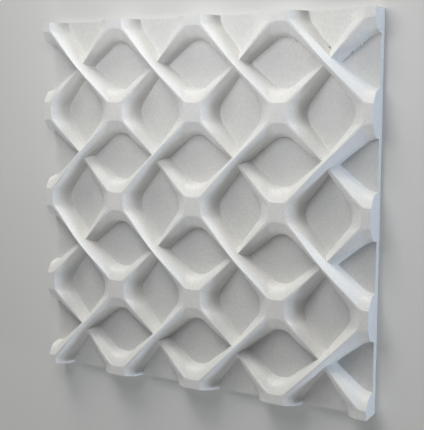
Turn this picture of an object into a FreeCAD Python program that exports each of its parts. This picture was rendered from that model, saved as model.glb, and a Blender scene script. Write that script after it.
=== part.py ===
import FreeCAD, Part
import math
import os

# A square plaster wall tile with a woven lattice cast in relief. It lies on its back, relief up.
# Millimetres. The origin is the middle of the back, X and Y run along the sides, Z points out of the wall.

# The lattice: flat stars on a square grid, joined by diagonal ribs that cross in the middle of each cell.
CELL = 125.0
CELLS_PER_SIDE = 4
BACK_THICKNESS = 10.0

# A star, along a grid line: how far its flat top, its shoulder and its foot reach from its centre.
# The shoulder is the corner between the sloping roof and the steep wall, before it is rounded off.
STAR_FLAT_REACH = 12.4
STAR_SHOULDER_REACH = 27.1
STAR_FOOT_REACH = 30.5
STAR_FLAT_HEIGHT = 31.4
STAR_SHOULDER_HEIGHT = 24.3

# The flat top is a square with eased corners, and a ridge with a narrow top runs out of each corner.
# Half the width of that narrow top, where it leaves the corner and at the crossing.
STAR_CORNER_EASE = 4.0
RIDGE_STAR_HALF = 1.6
RIDGE_CROSSING_HALF = 0.5

# The rounded ends of a pocket, where it meets a star.
SHOULDER_BEND = 28.0
FOOT_BEND = 26.0

# A rib in the middle of a cell: half widths, and heights where it goes over and where it goes under.
RIB_SHOULDER_HALF = 6.8
RIB_FOOT_HALF = 9.4
OVER_RIDGE_HEIGHT = 36.5
OVER_SHOULDER_HEIGHT = 27.0
UNDER_RIDGE_HEIGHT = 25.7
UNDER_SHOULDER_HEIGHT = 19.5

# The side rounds its shoulder in straight bands, which meet at these shares of the way from foot to rim.
BAND_ENDS = (0.0, 0.35, 0.65, 1.0)

ROOT2 = math.sqrt(2.0)
QUARTER_TURN = math.radians(90)
FACING_STAR = math.radians(225)
HALF_DIAGONAL = CELL / ROOT2
SIDE = CELL * CELLS_PER_SIDE
UP = FreeCAD.Vector(0, 0, 1)
MIDDLE = FreeCAD.Vector(CELL / 2, CELL / 2, 0)


def place(along, across, height):
    """A point of a cell, from its distance along the diagonal of the cell and across it."""
    return FreeCAD.Vector((along + across) / ROOT2, (along - across) / ROOT2, height)


def beyond_diagonal(poles):
    return [FreeCAD.Vector(pole.y, pole.x, pole.z) for pole in poles]


def rib_line(along, across, half, star_height, rib_height):
    """Poles of a line that leaves the star level, and is level and straight again at the crossing."""
    third = (HALF_DIAGONAL - along) / 3
    return [
        place(along, across, star_height),
        place(along + third, across + (half - across) / 3, star_height),
        place(HALF_DIAGONAL - third, half, rib_height),
        place(HALF_DIAGONAL, half, rib_height),
    ]


def outline(reach, bend, half, star_height, rib_height):
    """Poles of one line of the side: round the star from a grid line, then along the rib to the crossing."""
    centre = (reach + bend) / ROOT2
    to_centre = math.atan2(centre - half, centre - HALF_DIAGONAL)
    span = math.hypot(centre - half, centre - HALF_DIAGONAL)
    heading = to_centre + math.asin(bend / span)
    tangent = math.sqrt(span ** 2 - bend ** 2)
    touch_along = HALF_DIAGONAL + tangent * math.cos(heading)
    touch_across = half + tangent * math.sin(heading)

    # Two pulled poles between the ends of an arc follow it to less than a hundredth of a millimetre.
    first = FACING_STAR
    last = heading + QUARTER_TURN
    pull = bend * 4 / 3 * math.tan((last - first) / 4)
    start_along = centre + bend * math.cos(first)
    start_across = centre + bend * math.sin(first)
    star_poles = [
        place(start_along, start_across, star_height),
        place(start_along - pull * math.sin(first), start_across + pull * math.cos(first), star_height),
        place(touch_along + pull * math.sin(last), touch_across - pull * math.cos(last), star_height),
        place(touch_along, touch_across, star_height),
    ]
    return star_poles, rib_line(touch_along, touch_across, half, star_height, rib_height)


def rim_outline(ridge_height):
    """Poles of the rim of the flat top: along a side of the star, round its corner, then along the ridge."""
    start_along = STAR_FLAT_REACH / ROOT2
    corner_along = STAR_FLAT_REACH * ROOT2 - RIDGE_STAR_HALF
    tip_along = corner_along + STAR_CORNER_EASE
    taper = (RIDGE_STAR_HALF - RIDGE_CROSSING_HALF) / (HALF_DIAGONAL - corner_along)
    tip_across = RIDGE_STAR_HALF - taper * STAR_CORNER_EASE
    start = place(start_along, start_along, STAR_FLAT_HEIGHT)
    corner = place(corner_along, RIDGE_STAR_HALF, STAR_FLAT_HEIGHT)
    tip = place(tip_along, tip_across, STAR_FLAT_HEIGHT)
    eased = corner + (start - corner) * (STAR_CORNER_EASE / corner.distanceToPoint(start))
    rib_poles = rib_line(tip_along, tip_across, RIDGE_CROSSING_HALF, STAR_FLAT_HEIGHT, ridge_height)
    return [start, eased, corner, tip], rib_poles


def side_line(foot, shoulder, rim, share):
    """Poles of the line that lies this share of the way up a side that bends round its shoulder."""
    rest = 1 - share
    return [f * rest ** 3 + s * 3 * share * rest + r * share ** 3 for f, s, r in zip(foot, shoulder, rim)]


def band(low, high):
    surface = Part.BezierSurface()
    surface.increase(1, len(low) - 1)
    for row, poles in enumerate((low, high), 1):
        for column, pole in enumerate(poles, 1):
            surface.setPole(row, column, pole)
    return surface.toShape()


def curve(poles):
    line = Part.BezierCurve()
    line.setPoles(poles)
    return line.toShape()


def straight(*points):
    return [Part.LineSegment(a, b).toShape() for a, b in zip(points, points[1:])]


def flat(edges):
    return Part.Face(Part.Wire(Part.__sortEdges__(edges)))


def strand(ridge_height, shoulder_height):
    """One rib across a cell, corner to corner, with the quarter of a star at both of its ends."""
    foot = outline(STAR_FOOT_REACH, FOOT_BEND, RIB_FOOT_HALF, BACK_THICKNESS, BACK_THICKNESS)
    shoulder = outline(STAR_SHOULDER_REACH, SHOULDER_BEND, RIB_SHOULDER_HALF,
                       STAR_SHOULDER_HEIGHT, shoulder_height)
    rim = rim_outline(ridge_height)

    star_lines, rib_lines = [[side_line(*lines, share) for share in BAND_ENDS]
                             for lines in zip(foot, shoulder, rim)]
    foot_line, rim_line, ridge_line = star_lines[0], star_lines[-1], rib_lines[-1]
    section = [line[0] for line in star_lines]
    low_corner = FreeCAD.Vector(0, 0, BACK_THICKNESS)
    high_corner = FreeCAD.Vector(0, 0, STAR_FLAT_HEIGHT)
    low_middle = MIDDLE + UP * BACK_THICKNESS

    quarter = [band(low, high) for lines in (star_lines, rib_lines) for low, high in zip(lines, lines[1:])]
    quarter.append(flat(straight(*section, high_corner, low_corner, section[0])))
    quarter.append(flat([curve(foot_line), curve(rib_lines[0])]
                        + straight(rib_lines[0][-1], low_middle, low_corner, foot_line[0])))

    half = quarter + [face.mirror(FreeCAD.Vector(), FreeCAD.Vector(1, -1, 0)) for face in quarter]
    other_rim_line = beyond_diagonal(rim_line)
    half.append(band(ridge_line, beyond_diagonal(ridge_line)))
    half.append(flat([curve(rim_line), curve(other_rim_line)]
                     + straight(rim_line[-1], other_rim_line[-1])
                     + straight(rim_line[0], high_corner, other_rim_line[0])))

    whole = half + [face.mirror(MIDDLE, FreeCAD.Vector(1, 1, 0)) for face in half]
    shell = Part.makeShell(whole)
    shell.sewShape()
    return Part.Solid(shell)


over = strand(OVER_RIDGE_HEIGHT, OVER_SHOULDER_HEIGHT)
under = strand(UNDER_RIDGE_HEIGHT, UNDER_SHOULDER_HEIGHT)
under.rotate(MIDDLE, UP, 90)
back = Part.makeBox(CELL, CELL, BACK_THICKNESS)
rising_over = back.fuse([over, under]).removeSplitter()
falling_over = rising_over.mirror(MIDDLE, FreeCAD.Vector(1, 0, 0))

# Rows take turns, so that every rib goes over one crossing and under the next.
cells = []
for row in range(CELLS_PER_SIDE):
    for column in range(CELLS_PER_SIDE):
        cell = (falling_over if row % 2 else rising_over).copy()
        cell.translate(FreeCAD.Vector(column * CELL - SIDE / 2, row * CELL - SIDE / 2, 0))
        cells.append(cell)
panel = cells[0].fuse(cells[1:]).removeSplitter().Solids[0]

os.makedirs("parts", exist_ok=True)
panel.exportStep("parts/relief_panel.step")
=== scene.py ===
from collections import Counter
import math

import bpy
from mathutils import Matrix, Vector


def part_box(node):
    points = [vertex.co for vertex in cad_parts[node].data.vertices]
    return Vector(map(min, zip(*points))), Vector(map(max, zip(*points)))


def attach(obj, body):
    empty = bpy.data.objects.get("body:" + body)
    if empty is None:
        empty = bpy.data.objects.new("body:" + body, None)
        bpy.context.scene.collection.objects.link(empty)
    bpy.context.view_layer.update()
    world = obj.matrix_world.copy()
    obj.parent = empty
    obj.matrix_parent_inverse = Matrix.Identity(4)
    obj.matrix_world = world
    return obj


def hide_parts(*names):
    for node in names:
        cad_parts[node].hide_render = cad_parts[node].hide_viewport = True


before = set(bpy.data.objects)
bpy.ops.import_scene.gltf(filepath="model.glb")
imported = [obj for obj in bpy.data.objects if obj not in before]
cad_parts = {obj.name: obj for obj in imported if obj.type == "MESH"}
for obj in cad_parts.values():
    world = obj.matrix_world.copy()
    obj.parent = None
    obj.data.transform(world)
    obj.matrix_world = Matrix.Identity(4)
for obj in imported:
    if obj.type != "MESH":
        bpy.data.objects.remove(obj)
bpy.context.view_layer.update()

# A cast gypsum wall tile, lying on its back, with a woven lattice in relief.
# One strand of the weave is shaped first, then a cell with one strand over and one under,
# then the whole tile.

MM = 0.001
TOUCH = 0.01 * MM                   # points nearer than this are one point
EIGHTH_TURN = math.radians(45)
ROOT2 = math.sqrt(2)

# The lattice, from the tile's own box
tile_low, tile_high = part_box("relief_panel")
CELLS_PER_SIDE = 4
PAIRS_OF_ROWS = CELLS_PER_SIDE // 2
CELL = (tile_high[0] - tile_low[0]) / CELLS_PER_SIDE
HALF_DIAGONAL = CELL / ROOT2
BACK_THICKNESS = 10 * MM

# A star, along a grid line: reach from its centre, and height above the underside
STAR_FLAT_REACH = 12.4 * MM
STAR_CORNER_EASE = 4 * MM
STAR_SHOULDER_REACH = 27.1 * MM
STAR_FOOT_REACH = 30.5 * MM
STAR_FLAT_HEIGHT = 31.4 * MM
STAR_SHOULDER_HEIGHT = 24.3 * MM

# The rounded ends of a pocket, where it meets a star
SHOULDER_BEND = 28 * MM
FOOT_BEND = 26 * MM

# A rib at the crossing: half widths, and heights where it goes over and where it goes under
RIB_SHOULDER_HALF = 6.8 * MM
RIB_FOOT_HALF = 9.4 * MM
OVER_RIDGE_HEIGHT = tile_high[2] - tile_low[2]
OVER_SHOULDER_HEIGHT = 27 * MM
UNDER_RIDGE_HEIGHT = 25.7 * MM
UNDER_SHOULDER_HEIGHT = 19.5 * MM

# Half the narrow top of a ridge, where it leaves a corner of the star and at the crossing
RIDGE_STAR_HALF = 1.6 * MM
RIDGE_CROSSING_HALF = 0.5 * MM

# Cast plaster has no knife edge, so the ridges and the rims of the stars are eased.
ARRIS_EASE = 0.3 * MM
ARRIS_STEPS = 2
ARRIS_ANGLE = math.radians(22)      # edges sharper than this are eased
CREASE_ANGLE = math.radians(32)     # edges sharper than this still look sharp

# Mesh rows for each pole of a strand's side
ROWS_UP_THE_SIDE = 3
ROWS_ROUND_THE_STAR = 3
ROWS_ALONG_THE_RIB = 4

# Small casting flaws in the cell at one corner, along the feet of two ribs: plaster that ran into
# nicks in the mould is added, and pits left by air are cut. Each has its place, its radius and its
# height or depth, in millimetres.
FLAW_ROUGHNESS = 0.2 * MM
FLAWS = {
    "UNION": [
        (224.7, 207.5, 2.2, 2.6),
        (221.9, 205.6, 1.8, 2),
        (219.2, 203, 1.5, 1.6),
        (215.7, 199.5, 2.2, 2.6),
        (213.3, 197.2, 1.4, 1.6),
    ],
    "DIFFERENCE": [
        (184, 204.5, 1.7, 2),
        (181.8, 206.9, 1.1, 1.2),
        (179.7, 209.1, 0.9, 1),
        (139.9, 214.2, 1.6, 1.4),
    ],
}


def select_only(piece):
    bpy.ops.object.select_all(action="DESELECT")
    piece.select_set(True)
    bpy.context.view_layer.objects.active = piece


def open_edit(piece, kind, action):
    select_only(piece)
    bpy.ops.object.mode_set(mode="EDIT")
    bpy.ops.mesh.select_mode(type=kind)
    bpy.ops.mesh.select_all(action=action)


def close_edit():
    bpy.ops.object.mode_set(mode="OBJECT")


def edit(piece, kind, wanted):
    """Opens a piece in edit mode with only those vertices or faces selected that are wanted."""
    open_edit(piece, kind, "DESELECT")
    close_edit()
    for part in {"VERT": piece.data.vertices, "FACE": piece.data.polygons}[kind]:
        part.select = wanted(part)
    bpy.ops.object.mode_set(mode="EDIT")


def edit_all(piece):
    open_edit(piece, "VERT", "SELECT")


def edit_open_edges(piece):
    open_edit(piece, "EDGE", "DESELECT")
    bpy.ops.mesh.select_non_manifold()


def apply_modifier(piece, kind, **settings):
    select_only(piece)
    bpy.ops.object.modifier_add(type=kind)
    modifier = piece.modifiers[-1]
    for name, value in settings.items():
        setattr(modifier, name, value)
    bpy.ops.object.modifier_apply(modifier=modifier.name)


def rib_line(start_x, start_y, half, star_height, rib_height):
    """Poles of a line that leaves a star level, and is level and straight at the crossing at x = 0."""
    return [
        (start_x, start_y, star_height),
        (start_x * 2 / 3, start_y + (half - start_y) / 3, star_height),
        (start_x / 3, half, rib_height),
        (0, half, rib_height),
    ]


def outline(reach, bend, half, star_height, rib_height):
    """Poles of one line of a strand's side: round the star, then along the rib to the crossing."""
    centre = (reach + bend) / ROOT2
    to_centre = math.atan2(centre - half, centre - HALF_DIAGONAL)
    span = math.hypot(centre - half, centre - HALF_DIAGONAL)
    heading = to_centre + math.asin(bend / span)
    tangent = math.sqrt(span ** 2 - bend ** 2)
    touch_x = tangent * math.cos(heading)
    touch_y = half + tangent * math.sin(heading)

    # Two pulled poles between the ends of an arc follow it closely.
    first = 5 * EIGHTH_TURN
    last = heading + 2 * EIGHTH_TURN
    pull = bend * 4 / 3 * math.tan((last - first) / 4)
    start_x = centre - HALF_DIAGONAL + bend * math.cos(first)
    start_y = centre + bend * math.sin(first)
    star = [
        (start_x, start_y, star_height),
        (start_x - pull * math.sin(first), start_y + pull * math.cos(first), star_height),
        (touch_x + pull * math.sin(last), touch_y - pull * math.cos(last), star_height),
        (touch_x, touch_y, star_height),
    ]
    return star, rib_line(touch_x, touch_y, half, star_height, rib_height)


def rim_outline(ridge_height):
    """Poles of the rim of the flat top: along a side of the star, round its corner, along the ridge."""
    start_x = STAR_FLAT_REACH / ROOT2 - HALF_DIAGONAL
    start_y = STAR_FLAT_REACH / ROOT2
    corner_x = STAR_FLAT_REACH * ROOT2 - RIDGE_STAR_HALF - HALF_DIAGONAL
    corner_y = RIDGE_STAR_HALF
    before = STAR_CORNER_EASE / math.hypot(start_x - corner_x, start_y - corner_y)
    after = STAR_CORNER_EASE / -corner_x
    eased_x = corner_x + (start_x - corner_x) * before
    eased_y = corner_y + (start_y - corner_y) * before
    tip_x = corner_x * (1 - after)
    tip_y = corner_y + (RIDGE_CROSSING_HALF - corner_y) * after
    star = [
        (start_x, start_y, STAR_FLAT_HEIGHT),
        (eased_x, eased_y, STAR_FLAT_HEIGHT),
        (corner_x, corner_y, STAR_FLAT_HEIGHT),
        (tip_x, tip_y, STAR_FLAT_HEIGHT),
    ]
    return star, rib_line(tip_x, tip_y, RIDGE_CROSSING_HALF, STAR_FLAT_HEIGHT, ridge_height)


def side_patch(foot, shoulder, rim, rows_along):
    """A smooth side from foot to rim, pulled into a soft shoulder on the way."""
    bpy.ops.object.select_all(action="DESELECT")
    bpy.ops.surface.primitive_nurbs_surface_surface_add(location=(0, 0, 0))
    patch = bpy.context.object
    spline = patch.data.splines[0]
    for point, pole in zip(spline.points, foot + shoulder + shoulder + rim):
        point.co = (*pole, 1)
    spline.use_endpoint_u = True
    spline.use_endpoint_v = True
    spline.resolution_u = rows_along
    spline.resolution_v = ROWS_UP_THE_SIDE
    bpy.ops.object.convert(target="MESH")
    return bpy.context.object


def strand(name, ridge_height, shoulder_height):
    """One strand of the weave along X, with a quarter of a star at both ends."""
    foot_star, foot_rib = outline(
        STAR_FOOT_REACH, FOOT_BEND, RIB_FOOT_HALF, BACK_THICKNESS, BACK_THICKNESS)
    shoulder_star, shoulder_rib = outline(
        STAR_SHOULDER_REACH, SHOULDER_BEND, RIB_SHOULDER_HALF, STAR_SHOULDER_HEIGHT, shoulder_height)
    rim_star, rim_rib = rim_outline(ridge_height)
    star_side = side_patch(foot_star, shoulder_star, rim_star, ROWS_ROUND_THE_STAR)
    piece = side_patch(foot_rib, shoulder_rib, rim_rib, ROWS_ALONG_THE_RIB)
    piece.name = name
    select_only(piece)
    star_side.select_set(True)
    bpy.ops.object.join()
    edit_all(piece)
    bpy.ops.mesh.remove_doubles(threshold=TOUCH)
    close_edit()

    # The flat top: the rim is drawn in to the middle line, and at its end to the centre of the star.
    edit_open_edges(piece)
    close_edit()
    vertices = piece.data.vertices
    for edge in piece.data.edges:
        ends = [vertices[index].co for index in edge.vertices]
        on_foot = all(end.z < BACK_THICKNESS + TOUCH for end in ends)
        on_grid_line = all(end.y > end.x + HALF_DIAGONAL - TOUCH for end in ends)
        at_crossing = all(end.x > -TOUCH for end in ends)
        edge.select = edge.select and not (on_foot or on_grid_line or at_crossing)
    bpy.ops.object.mode_set(mode="EDIT")
    bpy.ops.mesh.extrude_region_move()
    bpy.ops.transform.resize(value=(1, 0, 1), center_override=(0, 0, 0))
    close_edit()
    star_end = rim_star[0][0]
    edit(piece, "VERT", lambda vertex: abs(vertex.co.y) < TOUCH and vertex.co.x < star_end + TOUCH)
    bpy.ops.transform.translate(value=(-HALF_DIAGONAL - star_end, 0, 0))
    close_edit()

    # The other three quarters, and the eased arrises
    apply_modifier(piece, "MIRROR", use_axis=(True, True, False), merge_threshold=TOUCH)
    edit_all(piece)
    bpy.ops.mesh.normals_make_consistent(inside=False)
    bpy.ops.mesh.select_mode(type="EDGE")
    bpy.ops.mesh.select_all(action="DESELECT")
    bpy.ops.mesh.edges_select_sharp(sharpness=ARRIS_ANGLE)
    bpy.ops.mesh.bevel(offset=ARRIS_EASE, segments=ARRIS_STEPS, affect="EDGES")
    close_edit()

    # The root of the strand, sunk halfway into the back
    edit_open_edges(piece)
    bpy.ops.mesh.extrude_region_move()
    bpy.ops.transform.resize(value=(1, 1, 0), center_override=(0, 0, BACK_THICKNESS / 2))
    bpy.ops.mesh.edge_face_add()
    bpy.ops.mesh.select_all(action="SELECT")
    bpy.ops.mesh.normals_make_consistent(inside=False)
    close_edit()
    return piece


def turn(piece, angle):
    select_only(piece)
    piece.rotation_euler.z = angle
    bpy.ops.object.transform_apply(rotation=True)


def rough_lump(x, y, radius, height, seed):
    """A lump of plaster, or the shape of a pit, half sunk into the floor of a pocket."""
    bpy.ops.object.select_all(action="DESELECT")
    bpy.ops.mesh.primitive_ico_sphere_add(
        subdivisions=3, radius=1, location=(x, y, BACK_THICKNESS), scale=(radius, radius, height))
    lump = bpy.context.object
    bpy.ops.object.transform_apply(location=True, scale=True)
    edit_all(lump)
    bpy.ops.transform.vertex_random(offset=FLAW_ROUGHNESS, uniform=0, normal=1, seed=seed)
    close_edit()
    return lump


# One cell: its piece of the back, with a strand over and a strand under
over_strand = strand("over_strand", OVER_RIDGE_HEIGHT, OVER_SHOULDER_HEIGHT)
turn(over_strand, EIGHTH_TURN)
under_strand = strand("under_strand", UNDER_RIDGE_HEIGHT, UNDER_SHOULDER_HEIGHT)
turn(under_strand, -EIGHTH_TURN)

bpy.ops.object.select_all(action="DESELECT")
bpy.ops.mesh.primitive_cube_add(
    size=1, location=(0, 0, BACK_THICKNESS / 2), scale=(CELL, CELL, BACK_THICKNESS))
tile = bpy.context.object
tile.name = "woven_relief_tile"
bpy.ops.object.transform_apply(location=True, scale=True)
for half_of_weave in (over_strand, under_strand):
    apply_modifier(tile, "BOOLEAN", operation="UNION", solver="EXACT", object=half_of_weave)
    bpy.data.objects.remove(half_of_weave)

# The cell is opened where the next cells join on, and underneath.
edit(tile, "FACE", lambda face: face.center.z < TOUCH
     or max(abs(face.center.x), abs(face.center.y)) > CELL / 2 - TOUCH)
bpy.ops.mesh.delete(type="FACE")
close_edit()

# A mirrored row has its strands the other way over. Such pairs of rows make the tile.
edit_all(tile)
bpy.ops.transform.translate(value=(0, -CELL / 2, 0))
close_edit()
apply_modifier(tile, "MIRROR", use_axis=(False, True, False), merge_threshold=TOUCH)
for count, step in ((CELLS_PER_SIDE, (CELL, 0, 0)), (PAIRS_OF_ROWS, (0, 2 * CELL, 0))):
    apply_modifier(tile, "ARRAY", count=count, use_relative_offset=False, use_constant_offset=True,
                   constant_offset_displace=step, use_merge_vertices=True, merge_threshold=TOUCH)
edit_all(tile)
bpy.ops.transform.translate(
    value=(-CELL * (CELLS_PER_SIDE - 1) / 2, -CELL * (PAIRS_OF_ROWS - 1), 0))
close_edit()

# The cut sides and the flat back
edit_open_edges(tile)
bpy.ops.mesh.extrude_region_move()
bpy.ops.transform.resize(value=(1, 1, 0), center_override=(0, 0, tile_low[2]))
bpy.ops.mesh.edge_face_add()
bpy.ops.mesh.select_all(action="SELECT")
bpy.ops.mesh.remove_doubles(threshold=TOUCH)
bpy.ops.mesh.normals_make_consistent(inside=False)
close_edit()

# The casting flaws
for operation, flaws in FLAWS.items():
    for seed, sizes in enumerate(flaws):
        lump = rough_lump(*[size * MM for size in sizes], seed)
        apply_modifier(tile, "BOOLEAN", operation=operation, solver="EXACT", object=lump)
        bpy.data.objects.remove(lump)

# The cuts leave slivers, and points along straight edges where only two edges meet.
edit_all(tile)
bpy.ops.mesh.remove_doubles(threshold=TOUCH)
close_edit()
edges_at = Counter(index for edge in tile.data.edges for index in edge.vertices)
edit(tile, "VERT", lambda vertex: edges_at[vertex.index] == 2)
bpy.ops.mesh.dissolve_verts()
close_edit()

select_only(tile)
bpy.ops.object.shade_smooth_by_angle(angle=CREASE_ANGLE)
apply_modifier(tile, "WEIGHTED_NORMAL", keep_sharp=True)

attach(tile, "root")
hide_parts("relief_panel")


def linear(hex_colour):
    """An sRGB hex colour as the linear colour that a shader takes."""
    channels = [int(hex_colour[start:start + 2], 16) / 255 for start in (1, 3, 5)]
    return [*(c / 12.92 if c <= 0.04045 else ((c + 0.055) / 1.055) ** 2.4 for c in channels), 1]


def add_node(tree, kind, inputs, **settings):
    """Adds a node with its settings. An input is a value, or the output of another node to link from."""
    node = tree.nodes.new(kind)
    for name, value in settings.items():
        setattr(node, name, value)
    for name, value in inputs.items():
        if isinstance(value, bpy.types.NodeSocket):
            tree.links.new(value, node.inputs[name])
        else:
            node.inputs[name].default_value = value
    return node


def new_material(name):
    material = bpy.data.materials.new(name)
    material.use_nodes = True
    material.node_tree.nodes.clear()
    return material


# The sockets of a Mix node that mixes colours: its share, its two colours, and what comes out
SHARE, COLOUR_A, COLOUR_B = 0, 6, 7
MIXED = 2

# Gypsum plaster cast in a smooth rubber mould and left unpainted: near white and faintly cloudy where
# it dried unevenly, with a fine chalky grain, a soft low sheen off the mould, and a few pinholes from
# air in the mix, dented by the bump and darkened in colour as painted shade inside the pits.
CLOUD_SIZE = 45 * MM
SPECKLE_SIZE = 3 * MM
GRAIN_SIZE = 1.6 * MM               # real grain is about 0.3 mm, drawn coarser so that it shows
GRAIN_DEPTH = 0.12 * MM
PINHOLE_SPACING = 26 * MM
PINHOLE_RADIUS = 0.6 * MM

plaster = new_material("cast_gypsum_plaster")
tree = plaster.node_tree
place = add_node(tree, "ShaderNodeTexCoord", {}).outputs["Object"]
clouds = add_node(tree, "ShaderNodeTexNoise", {
    "Vector": place, "Scale": 1 / CLOUD_SIZE, "Detail": 3.0})
speckle = add_node(tree, "ShaderNodeTexNoise", {
    "Vector": place, "Scale": 1 / SPECKLE_SIZE, "Detail": 2.0})
grain = add_node(tree, "ShaderNodeTexNoise", {
    "Vector": place, "Scale": 1 / GRAIN_SIZE, "Detail": 2.0})
pinholes = add_node(tree, "ShaderNodeTexVoronoi", {
    "Vector": place, "Scale": 1 / PINHOLE_SPACING})
cloud_share = add_node(tree, "ShaderNodeMapRange", {
    "Value": clouds.outputs["Fac"], "From Min": 0.35, "From Max": 0.65})
speckle_share = add_node(tree, "ShaderNodeMapRange", {
    "Value": speckle.outputs["Fac"], "From Min": 0.3, "From Max": 0.7, "To Max": 0.6})
pinhole_share = add_node(tree, "ShaderNodeMapRange", {
    "Value": pinholes.outputs["Distance"], "From Max": PINHOLE_RADIUS / PINHOLE_SPACING,
    "To Min": 1.0, "To Max": 0.0})
dried = add_node(tree, "ShaderNodeMix", {
    SHARE: cloud_share.outputs[0],
    COLOUR_A: linear("#D6D7D5"), COLOUR_B: linear("#DDDCD8")}, data_type="RGBA")
speckled = add_node(tree, "ShaderNodeMix", {
    SHARE: speckle_share.outputs[0],
    COLOUR_A: dried.outputs[MIXED], COLOUR_B: linear("#CACAC7")}, data_type="RGBA")
# The pinholes are darkened here: painted shade inside the pits
colour = add_node(tree, "ShaderNodeMix", {
    SHARE: pinhole_share.outputs[0],
    COLOUR_A: speckled.outputs[MIXED], COLOUR_B: linear("#A6A49E")}, data_type="RGBA")
relief = add_node(tree, "ShaderNodeMath", {
    0: grain.outputs["Fac"], 1: pinhole_share.outputs[0]}, operation="SUBTRACT")
bump = add_node(tree, "ShaderNodeBump", {
    "Height": relief.outputs[0], "Strength": 0.6, "Distance": GRAIN_DEPTH})
roughness = add_node(tree, "ShaderNodeMapRange", {
    "Value": speckle.outputs["Fac"], "From Min": 0.3, "From Max": 0.7, "To Min": 0.48, "To Max": 0.6})
surface = add_node(tree, "ShaderNodeBsdfPrincipled", {
    "Base Color": colour.outputs[MIXED], "Roughness": roughness.outputs[0], "IOR": 1.52,
    "Normal": bump.outputs["Normal"]})
add_node(tree, "ShaderNodeOutputMaterial", {"Surface": surface.outputs["BSDF"]})
tile.data.materials.clear()
tile.data.materials.append(plaster)

# Matt painted board under the tile, pale and plain, and lifted a little for the camera so that it
# stays pale far off. It is large, so that no corner of it shows.
BOARD_SIDE = 40
BOARD_PATCH_SIZE = 300 * MM
BOARD_LIFT = 0.15

board = new_material("matt_painted_board")
tree = board.node_tree
place = add_node(tree, "ShaderNodeTexCoord", {}).outputs["Object"]
unevenness = add_node(tree, "ShaderNodeTexNoise", {
    "Vector": place, "Scale": 1 / BOARD_PATCH_SIZE, "Detail": 2.0})
colour = add_node(tree, "ShaderNodeMix", {
    SHARE: unevenness.outputs["Fac"],
    COLOUR_A: linear("#C3C3C1"), COLOUR_B: linear("#C9C9C7")}, data_type="RGBA")
ray = add_node(tree, "ShaderNodeLightPath", {})
glow = add_node(tree, "ShaderNodeMath", {
    0: ray.outputs["Is Camera Ray"], 1: BOARD_LIFT}, operation="MULTIPLY")
surface = add_node(tree, "ShaderNodeBsdfPrincipled", {
    "Base Color": colour.outputs[MIXED], "Roughness": 0.9, "Specular IOR Level": 0.2,
    "Emission Color": colour.outputs[MIXED], "Emission Strength": glow.outputs[0]})
add_node(tree, "ShaderNodeOutputMaterial", {"Surface": surface.outputs["BSDF"]})

bpy.ops.object.select_all(action="DESELECT")
bpy.ops.mesh.primitive_plane_add(size=BOARD_SIDE, location=(0, 0, tile_low[2] - TOUCH))
floor = bpy.context.object
floor.name = "floor"
bpy.ops.object.transform_apply(location=True)
floor.data.materials.append(board)


def add_lamp(kind, name, place, aim, hex_colour, **settings):
    bpy.ops.object.select_all(action="DESELECT")
    facing = (Vector(aim) - Vector(place)).to_track_quat("-Z", "Y").to_euler()
    bpy.ops.object.light_add(type=kind, location=place, rotation=facing)
    lamp = bpy.context.object
    lamp.name = name
    lamp.visible_camera = False
    lamp.data.color = linear(hex_colour)[:3]
    for setting, value in settings.items():
        setattr(lamp.data, setting, value)


# Broad light from far off: one lamp rakes over the relief from beyond the far edge, a cool one comes
# in low from the right, and a weak one in front opens the shadows. A softbox over the far edge
# brightens the far rows.
RELIEF = (0, 0, 0.02)
FAR_ROWS = (0, 0.1, 0.02)
BROAD = math.radians(30)
NARROW = math.radians(6)
add_lamp("SUN", "raking_light", (-0.45, 2.6, 0.85), RELIEF, "#FFFCF5", energy=1.95, angle=BROAD)
add_lamp("SUN", "side_light", (3, -0.1, 0.1), RELIEF, "#D8E8FF", energy=2.5, angle=NARROW)
add_lamp("SUN", "front_light", (-0.5, -1.85, 0.4), RELIEF, "#FFFFFF", energy=1.05, angle=BROAD)
add_lamp("AREA", "far_edge_softbox", (0, 0.4, 0.5), FAR_ROWS, "#FCFCFF", energy=2, size=0.4)

# Even light all round, and a paler backdrop for the camera and for reflections
EVEN_STRENGTH = 0.16
BACKDROP_STRENGTH = 0.7

world = bpy.data.worlds.new("even_light")
bpy.context.scene.world = world
world.use_nodes = True
tree = world.node_tree
tree.nodes.clear()
ray = add_node(tree, "ShaderNodeLightPath", {})
mirrored = add_node(tree, "ShaderNodeMath", {
    0: ray.outputs["Is Glossy Ray"], 1: ray.outputs["Is Transmission Ray"]}, operation="MAXIMUM")
shown = add_node(tree, "ShaderNodeMath", {
    0: ray.outputs["Is Camera Ray"], 1: mirrored.outputs[0]}, operation="MAXIMUM")
strength = add_node(tree, "ShaderNodeMapRange", {
    "Value": shown.outputs[0], "To Min": EVEN_STRENGTH, "To Max": BACKDROP_STRENGTH})
backdrop = add_node(tree, "ShaderNodeBackground", {
    "Color": linear("#F7FAFF"), "Strength": strength.outputs[0]})
add_node(tree, "ShaderNodeOutputWorld", {"Surface": backdrop.outputs[0]})

# The camera looks down on the tile from the right, through a long lens.
CAMERA_PLACE = (0.6215, 0.1398, 1.0538)
CAMERA_TURN = [math.radians(angle) for angle in (-7.111, 30.023, 0.152)]
CAMERA_LENS = 75.8
CAMERA_SENSOR = 36

bpy.ops.object.select_all(action="DESELECT")
bpy.ops.object.camera_add(location=CAMERA_PLACE, rotation=CAMERA_TURN)
camera = bpy.context.object
camera.name = "camera"
camera.data.lens = CAMERA_LENS
camera.data.sensor_width = CAMERA_SENSOR
bpy.context.scene.camera = camera
bpy.context.scene.view_settings.view_transform = "Standard"
